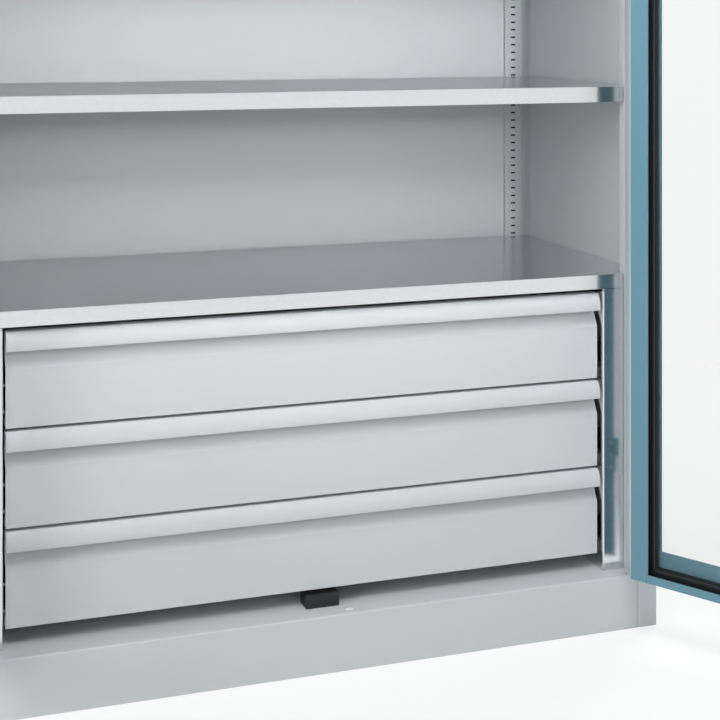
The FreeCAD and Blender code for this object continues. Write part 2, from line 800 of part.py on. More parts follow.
def door_panel(label, free_window):
    """A folded tray: outer sheet with the window, four edges and four rear flanges."""
    body = new_body(label)
    path = [
        (f"{DOOR_FREE} + door_flange", DOOR_REAR),
        (DOOR_FREE, DOOR_REAR),
        (DOOR_FREE, DOOR_FACE),
        (DOOR_EDGE, DOOR_FACE),
        (DOOR_EDGE, DOOR_REAR),
        (f"{DOOR_EDGE} - door_flange", DOOR_REAR),
    ]
    height = f"{DOOR_HEAD} - {DOOR_FOOT}"
    pad(sketched(body, "XY_Plane", DOOR_FOOT, fold(path, "door_sheet", 1)), height)
    lining = f"({DOOR_REAR} - door_sheet)"
    ends = ((DOOR_FOOT, 1), (DOOR_HEAD, -1))
    corners = new_sketch(body, f"{label}_corners", "XZ_Plane", lining)
    for end, up in ends:
        for edge, inward in ((DOOR_FREE, 1), (DOOR_EDGE, -1)):
            draw_outline(corners, corner_notch(edge, inward, end, up))
    pocket(corners, "door_sheet")
    for end, up in ends:
        low, high = sorted((end, f"({end} + {up} * door_sheet)"), key=number)
        plank(body, (DOOR_FREE, DOOR_EDGE), (DOOR_FACE, DOOR_REAR), (low, high))
        pad(sketched(body, "XZ_Plane", lining, end_flange(end, up)), "door_sheet")
    window = window_frame("window_inset", free_window, "window_inset_low")
    sketch = sketched(body, "XZ_Plane", DOOR_FACE, window)
    pocket(sketch, "door_sheet")
    return body


def corner_notch(edge, inward, end, up):
    """What a side flange lacks where an end flange starts, with a chamfered shoulder."""
    tip = f"{edge} + {inward} * door_flange"
    root = f"{edge} + {inward} * (door_flange - flange_notch)"
    return [
        (tip, end),
        (tip, f"{end} + {up} * door_flange_low"),
        (root, f"{end} + {up} * (door_flange_low - flange_notch)"),
        (root, end),
    ]


def end_flange(end, up):
    """A flange along an end, a seam short of the shoulders of the side flanges."""
    shoulder = f"{end} + {up} * (door_flange_low - flange_notch)"
    high = f"{end} + {up} * door_flange_low"
    left, right = f"{DOOR_FREE} + door_flange + flange_seam", f"{DOOR_EDGE} - door_flange - flange_seam"
    return [
        (f"{left} - flange_notch", end),
        (f"{right} + flange_notch", end),
        (f"{right} + flange_notch", shoulder),
        (right, high),
        (left, high),
        (f"{left} - flange_notch", shoulder),
    ]


def window_frame(inset, free_inset, low_inset):
    """A rectangle in the door's plane, set in from its four edges."""
    return rectangle(
        f"{DOOR_FREE} + {free_inset}",
        f"{DOOR_EDGE} - {inset}",
        f"{DOOR_FOOT} + {low_inset}",
        f"{DOOR_HEAD} - {low_inset}",
    )


def glazing(name, free_inset):
    """The clear pane and the rubber ring that laps over its edge."""
    edge = "(ring_inset + pane_cover)"
    low = "(ring_inset_low + pane_cover)"
    free = f"({free_inset} + pane_cover)"
    pane = new_body(f"pane_{name}")
    pane_outline = window_frame(edge, free, low)
    pad(sketched(pane, "XZ_Plane", DOOR_LINING, pane_outline), "pane_thick")

    ring = new_body(f"glazing_ring_{name}")
    outline = window_frame("ring_inset", free_inset, "ring_inset_low")
    pad(sketched(ring, "XZ_Plane", DOOR_LINING, outline), "ring_height")
    insets = [f"({inset} + ring_width)" for inset in ("ring_inset", free_inset, "ring_inset_low")]
    sight = window_frame(*insets)
    pocket(sketched(ring, "XZ_Plane", DOOR_LINING, sight), "ring_height")
    pocket(sketched(ring, "XZ_Plane", DOOR_LINING, pane_outline), "pane_thick")
    return pane, ring


def hinge_places():
    """Heights of the hinges' lower ends, spread between the door's ends."""
    count = int(number("hinge_count"))
    low = f"({DOOR_FOOT} + hinge_end)"
    run = f"({DOOR_HEAD} - {DOOR_FOOT} - 2 * hinge_end - hinge_length)"
    return [f"({low} + {run} * {index} / {max(count - 1, 1)})" for index in range(count)]


def leaf_outline(low, knuckle):
    """A hinge leaf from the side: plate with a tongue that reaches its knuckle."""
    root, shoulder, reach = "(pin_radius + pin_clear)", "(knuckle_radius + fit_gap)", "leaf_reach"
    high = f"({low} + hinge_length)"
    start, end = knuckle
    points = [(reach, low), (reach, high), (shoulder, high)]
    points += [(shoulder, end), (root, end), (root, start), (shoulder, start), (shoulder, low)]
    return drop_repeats(points)


def drop_repeats(points):
    kept = []
    for point in points:
        place = (number(point[0]), number(point[1]))
        if not kept or math.dist(place, kept[-1][1]) > 1e-6:
            kept.append((point, place))
    return [point for point, _ in kept]


def hinge_leaf(label, low, knuckle, x):
    body = new_body(label)
    start, end = knuckle
    barrel = sketched_circle(body, "XY_Plane", start, ("0", "0"), "knuckle_radius")
    pad(barrel, f"{end} - {start}")
    pad(sketched(body, "YZ_Plane", x, leaf_outline(low, knuckle)), "leaf_sheet")
    return body


def hinge(index, low):
    """One lift-off hinge about the axis: the door's capped knuckle turns on the pin that stands
    on the jamb's knuckle."""
    high = f"({low} + hinge_length)"
    middle = f"({low} + knuckle_share)"
    door_start = f"({middle} + fit_gap)"
    pin_end = f"({high} - knuckle_cap)"
    jamb_leaf = hinge_leaf(f"jamb_leaf_{index}", low, (low, middle), "-leaf_sheet")
    door_leaf = hinge_leaf(f"door_leaf_{index}", low, (door_start, high), DOOR_EDGE)
    bore = sketched_circle(door_leaf, "XY_Plane", door_start, ("0", "0"), "pin_radius + pin_clear")
    pocket(bore, f"{pin_end} + pin_clear - {door_start}")
    pin = new_body(f"pin_{index}")
    shaft = sketched_circle(pin, "XY_Plane", middle, ("0", "0"), "pin_radius")
    pad(shaft, f"{pin_end} - {middle}")
    for piece in (jamb_leaf, pin):
        tie(piece, Placement__Base__x=JAMB, Placement__Base__y=HINGE_Y)
    return jamb_leaf, hang(door_leaf), pin


def hinges():
    sets = [hinge(index, low) for index, low in enumerate(hinge_places(), start=1)]
    for name, column in zip(("hinge_jamb_leaves", "hinge_door_leaves", "hinge_pins"), zip(*sets)):
        group = document.addObject("Part::Compound", name)
        group.Links = list(column)
        both_sides(group, name)


def doors():
    left = door_panel("door_panel_left_shut", "window_inset")
    right = door_panel("door_panel_right", "window_inset_lock")
    lock_cuts(right)
    finish(hang(right), "door_panel_right")
    mirror(hang(left), "door_panel_left")
    pane, ring = glazing("right", "ring_inset_lock")
    finish(hang(pane), "pane_right")
    finish(hang(ring), "glazing_ring_right")
    pane, ring = glazing("left_shut", "ring_inset")
    mirror(hang(pane), "pane_left")
    mirror(hang(ring), "glazing_ring_left")


def lock_cuts(panel):
    """Openings of the right door for the lock case and the rods."""
    pocket(sketched(panel, "XZ_Plane", DOOR_FACE, case_outline("case_clear")), "door_sheet")
    rod = "(rod_radius + rod_clear)"
    for low in (DOOR_FOOT, f"({DOOR_HEAD} - door_sheet)"):
        pocket(sketched_circle(panel, "XY_Plane", low, (ROD_X, ROD_Y), rod), "door_sheet")


def case_outline(clear):
    """The lock case from the front, with room all round."""
    return rectangle(
        f"{ROD_X} - case_half - {clear}",
        f"{ROD_X} + case_half + {clear}",
        f"handle_height - case_drop - {clear}",
        f"handle_height + case_rise + {clear}",
    )


def astragal():
    """The strip on the right door that laps over the left door."""
    body = new_body("astragal")
    face, cover = DOOR_FACE, "astragal_cover"
    edge = f"({DOOR_FREE} - door_centre_gap / 4)"
    points = [
        (f"{DOOR_FREE} + {cover}", face),
        (f"{DOOR_FREE} + {cover}", f"{face} - astragal_sheet"),
        (f"{DOOR_FREE} - {cover}", f"{face} - astragal_sheet"),
        (f"{DOOR_FREE} - {cover}", f"{face} - fit_gap"),
        (edge, f"{face} - fit_gap"),
        (edge, face),
    ]
    sketch = sketched(body, "XY_Plane", DOOR_FOOT, points)
    pad(sketch, f"{DOOR_HEAD} - {DOOR_FOOT}")
    finish(hang(body), "astragal")


def handle_plate():
    """The plate outside the door, with the lock case that passes through the sheet."""
    body = new_body("handle_plate")
    x = (f"({ROD_X} - plate_width / 2)", f"({ROD_X} + plate_width / 2)")
    z = ("(handle_height - plate_drop)", "(handle_height - plate_drop + plate_height)")
    sheet = sketched(body, "XZ_Plane", f"{DOOR_FACE} - plate_thick", rectangle(x[0], x[1], z[0], z[1]))
    pad(sheet, "plate_thick")
    centre = (ROD_X, "handle_height")
    pad(sketched(body, "XZ_Plane", DOOR_FACE, case_outline("0")), "case_depth")
    start = f"{DOOR_FACE} - plate_thick"
    bore = sketched_circle(body, "XZ_Plane", start, centre, "spindle_radius + pin_clear")
    pocket(bore, "plate_thick + case_depth")
    plug = (ROD_X, "handle_height + plug_rise")
    socket = sketched_circle(body, "XZ_Plane", start, plug, "plug_radius + pin_clear")
    pocket(socket, "plate_thick + door_sheet + fit_gap")
    finish(hang(body), "handle_plate")


def turn_handle():
    """Hub, lever and spindle; the lever stands off the plate and points to the hinge side."""
    body = new_body("turn_handle")
    centre = (ROD_X, "handle_height")
    plate_face = f"({DOOR_FACE} - plate_thick - fit_gap)"
    hub = sketched_circle(body, "XZ_Plane", f"{plate_face} - hub_length", centre, "hub_radius")
    pad(hub, "hub_length")
    lever = rectangle(
        ROD_X,
        f"{ROD_X} + lever_length",
        "handle_height - lever_width / 2",
        "handle_height + lever_width / 2",
    )
    sketch = sketched(body, "XZ_Plane", f"{plate_face} - hub_length", lever)
    pad(sketch, "lever_thick")
    shaft = sketched_circle(body, "XZ_Plane", plate_face, centre, "spindle_radius")
    pad(shaft, f"{DOOR_FACE} + case_depth - {plate_face}")
    tail = sketched(body, "XZ_Plane", f"{DOOR_FACE} + case_depth", spindle_outline())
    pad(tail, f"{CAM_Y} + cam_thick - {DOOR_FACE} - case_depth")
    finish(hang(body), "turn_handle")


def spindle_outline():
    """The square end of the spindle, which the cam sits on."""
    return rectangle(
        f"{ROD_X} - spindle_square / 2",
        f"{ROD_X} + spindle_square / 2",
        "handle_height - spindle_square / 2",
        "handle_height + spindle_square / 2",
    )


def lock_cam():
    """A bar on the square of the spindle, with one crank pin for each rod."""
    body = new_body("lock_cam")
    along = ("cam_reach * cos(crank_angle)", "cam_reach * sin(crank_angle)")
    across = ("cam_half * sin(crank_angle)", "cam_half * cos(crank_angle)")
    bar = [
        (f"{ROD_X} + {end} * {along[0]} - {side} * {across[0]}",
         f"handle_height + {end} * {along[1]} + {side} * {across[1]}")
        for end, side in ((1, 1), (-1, 1), (-1, -1), (1, -1))
    ]
    pad(sketched(body, "XZ_Plane", CAM_Y, bar), "cam_thick")
    for side in (1, -1):
        pin = (
            f"{ROD_X} - {side} * crank_radius * cos(crank_angle)",
            f"handle_height - {side} * {THROW}",
        )
        sketch = sketched_circle(body, "XZ_Plane", f"{CAM_Y} + cam_thick", pin, "crank_pin")
        pad(sketch, "yoke_thick + 2 * fit_gap")
    pocket(sketched(body, "XZ_Plane", CAM_Y, spindle_outline()), "cam_thick")
    finish(hang(body), "lock_cam")


def locking_rod(label, side):
    """A round rod with a slotted yoke at the cam; side is 1 for up and -1 for down."""
    body = new_body(label)

    def at(across, up):
        return (f"{ROD_X} - {side} * ({across})", f"handle_height + {side} * ({up})")

    slot_half = "(crank_pin + yoke_play)"
    low = f"(-{THROW} - {slot_half} - yoke_wall)"
    slot_end = f"(crank_radius + {slot_half})"
    inner = "yoke_root"
    arm = f"({slot_end} + yoke_arm)"
    yoke_top = f"({slot_half} + yoke_wall - {THROW})"
    outline = [
        at(inner, low),
        at(arm, low),
        at(arm, "yoke_rise"),
        at("-rod_radius", "yoke_rise"),
        at("-rod_radius", "yoke_rise - 2 * rod_radius"),
        at(slot_end, "yoke_rise - 2 * rod_radius"),
        at(slot_end, yoke_top),
        at(inner, yoke_top),
    ]
    pad(sketched(body, "XZ_Plane", YOKE_Y, outline), "yoke_thick")
    window = [
        at(f"{inner} + yoke_arm / 2", f"-{THROW} - {slot_half}"),
        at(slot_end, f"-{THROW} - {slot_half}"),
        at(slot_end, f"-{THROW} + {slot_half}"),
        at(f"{inner} + yoke_arm / 2", f"-{THROW} + {slot_half}"),
    ]
    pocket(sketched(body, "XZ_Plane", YOKE_Y, window), "yoke_thick")
    root = f"(handle_height + {side} * (yoke_rise - rod_radius))"
    tip = f"({DOOR_HEAD} + rod_proud)" if side > 0 else f"({DOOR_FOOT} - rod_proud)"
    low_end, high_end = sorted((root, tip), key=number)
    shaft = sketched_circle(body, "XY_Plane", low_end, (ROD_X, ROD_Y), "rod_radius")
    pad(shaft, f"{high_end} - {low_end}")
    finish(hang(body), label)


def rod_guides():
    """Square-holed blocks on the inside of the sheet that the rods run in."""
    blocks = []
    count = int(number("guide_count"))
    for start, end in ((DOOR_FOOT, "handle_height"), ("handle_height", DOOR_HEAD)):
        for index in range(count):
            body = new_body("rod_guide")
            low = f"({start} + ({end} - {start}) * (2 * {index} + 1) / (2 * {count}))"
            x = (f"({ROD_X} - guide_width / 2)", f"({ROD_X} + guide_width / 2)")
            y = (DOOR_LINING, f"({ROD_Y} + guide_width / 2)")
            plank(body, x, y, (low, f"({low} + guide_height)"))
            room = "(rod_radius + pin_clear)"
            hole_x = (f"({ROD_X} - {room})", f"({ROD_X} + {room})")
            hole_y = (f"({ROD_Y} - {room})", f"({ROD_Y} + {room})")
            cavity(body, hole_x, hole_y, (low, f"({low} + guide_height)"))
            blocks.append(body)
    group = document.addObject("Part::Compound", "rod_guides")
    group.Links = blocks
    finish(hang(group), "rod_guides")


def lock_plug():
    body = new_body("lock_plug")
    start = f"({DOOR_FACE} - plate_thick - plug_proud)"
    centre = (ROD_X, "handle_height + plug_rise")
    plug = sketched_circle(body, "XZ_Plane", start, centre, "plug_radius")
    pad(plug, "plug_proud + plate_thick + door_sheet")
    slot = rectangle(
        f"{ROD_X} - key_width / 2",
        f"{ROD_X} + key_width / 2",
        "handle_height + plug_rise - key_length / 2",
        "handle_height + plug_rise + key_length / 2",
    )
    pocket(sketched(body, "XZ_Plane", start, slot), "key_depth")
    finish(hang(body), "lock_plug")


def floor_stop():
    body = new_body("floor_stop")
    x = ("(-stop_width / 2)", "(stop_width / 2)")
    y = (f"({REBATE} + stop_gap)", f"({REBATE} + stop_gap + stop_depth)")
    plank(body, x, y, (FLOOR, f"({FLOOR} + stop_height)"))
    finish(body, "floor_stop")


def build():
    side_panel()
    back_panel()
    top_panel()
    base()
    plinth_members()
    rails()
    shelves()
    housing()
    drawers()
    doors()
    hinges()
    astragal()
    handle_plate()
    turn_handle()
    lock_cam()
    locking_rod("rod_upper", 1)
    locking_rod("rod_lower", -1)
    rod_guides()
    lock_plug()
    floor_stop()


def check():
    """Stops on any failed object, on a pocket that cuts nothing and on an invalid piece."""
    for item in document.Objects:
        if "Invalid" in item.State or "Error" in item.State:
            raise RuntimeError(f"{item.Label} failed: {item.State}")
        if item.TypeId == "PartDesign::Pocket" and item.Shape.Volume >= item.BaseFeature.Shape.Volume:
            raise RuntimeError(f"{item.Label} cuts nothing")
    for item in parts:
        if item.Shape.isNull() or not item.Shape.isValid():
            raise RuntimeError(f"{item.Label} has no valid shape")


def export():
    os.makedirs("parts", exist_ok=True)
    for item in parts:
        item.Shape.exportStep(f"parts/{item.Label}.step")
        print(item.Label, len(item.Shape.Solids), round(item.Shape.Volume))


build()
document.recompute()
check()
export()
print(len(parts), "pieces")
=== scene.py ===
"""Looks of the heavy-duty storage cabinet: finishes, small fasteners, studio and camera."""

import json
import math

import bmesh
import bpy
from mathutils import Matrix, Vector

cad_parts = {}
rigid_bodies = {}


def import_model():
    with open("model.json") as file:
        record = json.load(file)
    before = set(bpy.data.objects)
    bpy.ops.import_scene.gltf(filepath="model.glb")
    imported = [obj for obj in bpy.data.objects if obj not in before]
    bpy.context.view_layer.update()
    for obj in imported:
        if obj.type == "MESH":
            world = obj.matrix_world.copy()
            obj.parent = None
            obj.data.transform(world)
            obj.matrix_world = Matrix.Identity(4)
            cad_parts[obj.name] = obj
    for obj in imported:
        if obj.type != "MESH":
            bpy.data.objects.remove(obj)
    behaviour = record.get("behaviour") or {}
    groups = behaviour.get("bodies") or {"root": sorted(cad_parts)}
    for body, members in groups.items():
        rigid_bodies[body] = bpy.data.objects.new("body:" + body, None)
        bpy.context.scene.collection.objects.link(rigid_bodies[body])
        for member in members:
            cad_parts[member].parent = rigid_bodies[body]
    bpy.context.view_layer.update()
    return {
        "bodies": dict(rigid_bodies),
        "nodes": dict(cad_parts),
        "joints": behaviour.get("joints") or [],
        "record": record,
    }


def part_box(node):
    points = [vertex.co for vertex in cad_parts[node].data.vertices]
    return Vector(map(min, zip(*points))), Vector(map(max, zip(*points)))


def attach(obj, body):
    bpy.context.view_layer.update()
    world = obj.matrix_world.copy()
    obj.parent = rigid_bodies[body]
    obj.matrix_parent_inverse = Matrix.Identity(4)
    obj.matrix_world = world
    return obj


# Camera, solved from the photograph's edges: metres, degrees and pixels of the frame
CAMERA_PLACE = (-0.7312, -2.4130, 1.0518)
CAMERA_YAW = 17.8069
FOCAL_PIXELS = 1419.69
FRAME_PIXELS = 720
PRINCIPAL = (308.0, 19.13)
SENSOR_MM = 36.0

# Softboxes: degrees to the right of the cabinet's front and up, the share of a white surface's
# brightness that each gives where it falls straight on, the height it is aimed at, and its beam
SOFTBOXES = (
    ("front", -4, 5, 0.07, 0.8, 180),
    ("left", -64, 14, 0.58, 0.8, 180),
    ("overhead", 0, 60, 0.50, 0.8, 180),
    ("interior_low", 0, 4, 0.25, 1.5, 26),
    ("interior_high", 0, 18, 0.21, 1.3, 26),
    ("rear_left", -125, 28, 0.30, 0.8, 180),
    ("rear_right", 125, 28, 0.55, 0.8, 180),
)
OPEN_BEAM = 180
SOFTBOX_DISTANCE = 5.0
SOFTBOX_SIZE = 2.6
GRID_SIZE = 0.9
FILL_TINT = (0.96, 0.98, 1.0)
FILL_LEVEL = 0.12

# The floor's side and how far it lies under the feet, the light that it scatters, the shade and
# glow that it is seen with, and where the shaded part fades into the white studio
FLOOR_SIDE = 24.0
FLOOR_DROP = 0.0005
FLOOR_SCATTER = 0.8
FLOOR_ROUGHNESS = 0.9
FLOOR_SHADE = 0.34
FLOOR_GLOW = 0.68
FLOOR_NEAR = 1.0
FLOOR_FAR = 2.2

# Base colours
GREY_PAINT = (0.645, 0.675, 0.690)
BLUE_PAINT = (0.130, 0.272, 0.344)
ZINC = (0.725, 0.750, 0.765)
STEEL = (0.560, 0.565, 0.575)
BLACK_RUBBER = (0.012, 0.012, 0.014)
BLACK_PLASTIC = (0.011, 0.011, 0.012)
FILLER_RUBBER = (0.022, 0.024, 0.026)
# Black of the sheets inside the rails, a painted shade for their slots
SLOT_SHADE_BLACK = (0.010, 0.011, 0.012)
PANE_TINT = (0.30, 0.33, 0.34)

# How opaque each face of a pane is, and how strongly it bends light
PANE_ALPHA = 0.075
PANE_IOR = 1.45

# Radius of the soft edge on each kind of surface, in metres
PAINT_EDGE = 0.0005
METAL_EDGE = 0.0004
MOULDED_EDGE = 0.0010
EDGE_SAMPLES = 4

# The door's swing at rest in degrees, and the fasteners and trim in metres
DOOR_OPEN = 121.7
DOOR_SIDE_GAP = 0.0030
HINGE_LENGTH = 0.060
LEAF_SHEET = 0.0012
LEAF_SCREWS = (0.14, 0.5, 0.86)
LEAF_SCREW_REACH = 0.0125
SCREW_RADIUS = 0.0026
SCREW_RISE = 0.00022
PLATE_SCREW_INSET = 0.009
PLATE_SCREW_RADIUS = 0.0034
FILLER_SECTION = (
    (0.0046, -0.0004),
    (0.0049, 0.0003),
    (0.0062, 0.0010),
    (0.0086, 0.0012),
    (0.0108, 0.0009),
    (0.0120, 0.0002),
    (0.0123, -0.0004),
)
RAILS = ("rail_rear_left", "rail_rear_right", "rail_front_left", "rail_front_right")
RAIL_SHEET = 0.0012
# Gap and thickness of the black sheet inside each rail, which paints the shade seen through its slots
SLOT_SHADE_GAP = 0.0005
SLOT_SHADE_SHEET = 0.0004
SIDES = ((1, "right"), (-1, "left"))


def linked(tree, kind, **inputs):
    """A node with its inputs set to values or linked from other nodes' outputs."""
    node = tree.nodes.new(kind)
    for name, value in inputs.items():
        socket = node.inputs[name.replace("_", " ")]
        if isinstance(value, bpy.types.NodeSocket):
            tree.links.new(value, socket)
        else:
            socket.default_value = value
    return node


def new_material(name):
    """A material with its node tree and its shader."""
    material = bpy.data.materials.new(name)
    material.use_nodes = True
    tree = material.node_tree
    shader = tree.nodes["Principled BSDF"]
    return material, tree, shader


def spread(tree, source, low, high):
    """Maps a 0 to 1 output to a range."""
    return linked(tree, "ShaderNodeMapRange", Value=source, To_Min=low, To_Max=high).outputs["Result"]


def object_place(tree):
    """Where a point lies in the object's own axes, in metres."""
    return tree.nodes.new("ShaderNodeTexCoord").outputs["Object"]


def noise(tree, scale, detail, stretch=(1, 1, 1)):
    """Cloudy noise from 0 to 1, stretched along the axes."""
    mapping = linked(tree, "ShaderNodeMapping", Vector=object_place(tree), Scale=stretch)
    place = mapping.outputs["Vector"]
    return linked(tree, "ShaderNodeTexNoise", Vector=place, Scale=scale, Detail=detail).outputs["Fac"]


def tinted(tree, colour, amount, source):
    """The colour, a little darker and lighter where the source varies."""
    ramp = tree.nodes.new("ShaderNodeValToRGB")
    ramp.color_ramp.elements[0].color = (*[c * (1 - amount) for c in colour], 1)
    ramp.color_ramp.elements[1].color = (*[min(1, c * (1 + amount)) for c in colour], 1)
    tree.links.new(source, ramp.inputs["Fac"])
    return ramp.outputs["Color"]


def rounded(tree, radius, bumps=None):
    """Normals with softly rounded edges, under any bumps: their height, strength and depth."""
    bevel = linked(tree, "ShaderNodeBevel", Radius=radius)
    bevel.samples = EDGE_SAMPLES
    normal = bevel.outputs["Normal"]
    if bumps is None:
        return normal
    height, strength, depth = bumps
    bump = linked(
        tree, "ShaderNodeBump", Height=height, Normal=normal, Strength=strength, Distance=depth
    )
    return bump.outputs["Normal"]


def powder_coat(name, colour, roughness):
    """Satin powder coat: fine orange peel and faint cloudiness."""
    material, tree, shader = new_material(name)
    cloud = noise(tree, scale=2.5, detail=3.0)
    tree.links.new(tinted(tree, colour, 0.02, cloud), shader.inputs["Base Color"])
    peel = noise(tree, scale=520.0, detail=2.0)
    normal = rounded(tree, PAINT_EDGE, (peel, 0.12, 0.0002))
    tree.links.new(normal, shader.inputs["Normal"])
    gloss = spread(tree, noise(tree, scale=60.0, detail=2.0), roughness - 0.04, roughness + 0.04)
    tree.links.new(gloss, shader.inputs["Roughness"])
    return material


def galvanised(name):
    """Skin-passed zinc: soft reflections, faint rolling streaks and small spangle."""
    material, tree, shader = new_material(name)
    shader.inputs["Metallic"].default_value = 1.0
    streaks = noise(tree, scale=30.0, detail=4.0, stretch=(0.15, 6.0, 6.0))
    spangle = linked(tree, "ShaderNodeTexVoronoi", Vector=object_place(tree), Scale=220.0)
    mixed = linked(tree, "ShaderNodeMix", Factor=0.35)
    mixed.data_type = "FLOAT"
    tree.links.new(streaks, mixed.inputs["A"])
    tree.links.new(spangle.outputs["Color"], mixed.inputs["B"])
    grain = mixed.outputs["Result"]
    tree.links.new(tinted(tree, ZINC, 0.05, grain), shader.inputs["Base Color"])
    tree.links.new(spread(tree, grain, 0.13, 0.22), shader.inputs["Roughness"])
    tree.links.new(rounded(tree, METAL_EDGE, (streaks, 0.05, 0.0002)), shader.inputs["Normal"])
    return material


def plain_metal(name, colour, roughness):
    """Plated or turned steel with a fine grain."""
    material, tree, shader = new_material(name)
    shader.inputs["Metallic"].default_value = 1.0
    grain = noise(tree, scale=300.0, detail=3.0)
    tree.links.new(tinted(tree, colour, 0.04, grain), shader.inputs["Base Color"])
    gloss = spread(tree, grain, roughness - 0.05, roughness + 0.05)
    tree.links.new(gloss, shader.inputs["Roughness"])
    tree.links.new(rounded(tree, METAL_EDGE), shader.inputs["Normal"])
    return material


def black_moulding(name, colour, roughness, grain_scale, depth=0.0001):
    """Moulded rubber or plastic with a grained surface."""
    material, tree, shader = new_material(name)
    grain = noise(tree, scale=grain_scale, detail=3.0)
    tree.links.new(tinted(tree, colour, 0.15, grain), shader.inputs["Base Color"])
    gloss = spread(tree, grain, roughness - 0.06, roughness + 0.06)
    tree.links.new(gloss, shader.inputs["Roughness"])
    tree.links.new(rounded(tree, MOULDED_EDGE, (grain, 0.25, depth)), shader.inputs["Normal"])
    return material


def clear_pane(name):
    """A thin clear sheet: light passes straight through, with a weak reflection on top."""
    material, tree, shader = new_material(name)
    shader.inputs["Base Color"].default_value = (*PANE_TINT, 1)
    shader.inputs["IOR"].default_value = PANE_IOR
    shader.inputs["Alpha"].default_value = PANE_ALPHA
    smear = noise(tree, scale=4.0, detail=2.0)
    tree.links.new(spread(tree, smear, 0.01, 0.05), shader.inputs["Roughness"])
    return material


def make_materials():
    """The finish of each record slot and of the trim, and the black that paints the shade inside the
    rails.
    """
    return {
        "body": powder_coat("grey_powder_coat", GREY_PAINT, 0.42),
        "fronts": powder_coat("grey_powder_coat_fronts", GREY_PAINT, 0.40),
        "door": powder_coat("blue_powder_coat", BLUE_PAINT, 0.40),
        "galvanised": galvanised("galvanised_sheet"),
        "steel": plain_metal("zinc_plated_steel", STEEL, 0.32),
        "pane": clear_pane("clear_pane"),
        "ring": black_moulding("black_rubber", BLACK_RUBBER, 0.62, 700.0),
        "plastic": black_moulding("black_plastic", BLACK_PLASTIC, 0.48, 900.0),
        "cylinder": plain_metal("polished_plug", STEEL, 0.15),
        "filler": black_moulding("black_rubber_filler", FILLER_RUBBER, 0.45, 700.0),
        # Black that paints the shade seen through the rails' slots
        "lining": black_moulding("unlit_lining", SLOT_SHADE_BLACK, 0.9, 300.0),
    }


def dress(frame, materials):
    """Gives each node the material of its record slot."""
    slots = {part["node"]: part["material_slot"] for part in frame["record"]["subparts"]}
    for name, node in frame["nodes"].items():
        material = materials[slots[name]]
        for slot in node.material_slots:
            slot.material = material
        if not node.material_slots:
            node.data.materials.append(material)


def seen_directly(tree):
    """1 for camera, glossy and transmitted rays, 0 for the light that surfaces scatter."""
    path = tree.nodes.new("ShaderNodeLightPath")
    share = path.outputs["Is Camera Ray"]
    for kind in ("Is Glossy Ray", "Is Transmission Ray"):
        either = tree.nodes.new("ShaderNodeMath")
        either.operation = "MAXIMUM"
        tree.links.new(share, either.inputs[0])
        tree.links.new(path.outputs[kind], either.inputs[1])
        share = either.outputs[0]
    return share


def blended(tree, share, first, second):
    """A shader that goes over from the first to the second as the share goes from 0 to 1."""
    mix = linked(tree, "ShaderNodeMixShader", Fac=share)
    tree.links.new(first, mix.inputs[1])
    tree.links.new(second, mix.inputs[2])
    return mix.outputs["Shader"]


def far_share(tree):
    """0 on the floor near the cabinet, 1 far from it."""
    reach = tree.nodes.new("ShaderNodeVectorMath")
    reach.operation = "LENGTH"
    place = tree.nodes.new("ShaderNodeNewGeometry")
    tree.links.new(place.outputs["Position"], reach.inputs[0])
    distance = reach.outputs["Value"]
    fade = linked(
        tree, "ShaderNodeMapRange", Value=distance, From_Min=FLOOR_NEAR, From_Max=FLOOR_FAR
    )
    fade.interpolation_type = "SMOOTHSTEP"
    return fade.outputs["Result"]


def shaded_floor(tree):
    """The floor as it is seen: a pale shadow near the cabinet, and white far from it."""
    shade = linked(tree, "ShaderNodeBsdfDiffuse", Color=(*[FLOOR_SHADE] * 3, 1))
    glow = linked(tree, "ShaderNodeEmission", Strength=FLOOR_GLOW)
    both = tree.nodes.new("ShaderNodeAddShader")
    tree.links.new(shade.outputs["BSDF"], both.inputs[0])
    tree.links.new(glow.outputs["Emission"], both.inputs[1])
    white = linked(tree, "ShaderNodeEmission", Strength=1.0)
    return blended(tree, far_share(tree), both.outputs["Shader"], white.outputs["Emission"])


def make_floor():
    """A wide white floor that keeps a pale shadow of the cabinet."""
    bpy.ops.mesh.primitive_plane_add(size=FLOOR_SIDE, location=(0, 0, -FLOOR_DROP))
    floor = bpy.context.object
    floor.name = "studio_floor"
    material, tree, shader = new_material("studio_floor")
    shader.inputs["Base Color"].default_value = (*[FLOOR_SCATTER] * 3, 1)
    shader.inputs["Roughness"].default_value = FLOOR_ROUGHNESS
    surface = blended(tree, seen_directly(tree), shader.outputs["BSDF"], shaded_floor(tree))
    tree.links.new(surface, tree.nodes["Material Output"].inputs["Surface"])
    floor.data.materials.append(material)


def make_world():
    """Even fill light from all round, seen as a white studio."""
    world = bpy.data.worlds.new("studio")
    bpy.context.scene.world = world
    world.use_nodes = True
    tree = world.node_tree
    fill = tree.nodes["Background"]
    fill.inputs["Color"].default_value = (*FILL_TINT, 1)
    fill.inputs["Strength"].default_value = FILL_LEVEL
    white = linked(tree, "ShaderNodeBackground", Color=(1, 1, 1, 1), Strength=1.0)
    backgrounds = (fill.outputs["Background"], white.outputs["Background"])
    surface = blended(tree, seen_directly(tree), *backgrounds)
    tree.links.new(surface, tree.nodes["World Output"].inputs["Surface"])


def new_piece(name, mesh, body, material):
    """A piece of the cabinet that rides on a body."""
    data = bpy.data.meshes.new(name)
    mesh.normal_update()
    mesh.to_mesh(data)
    mesh.free()
    piece = bpy.data.objects.new(name, data)
    bpy.context.scene.collection.objects.link(piece)
    data.materials.append(material)
    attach(piece, body)
    return piece


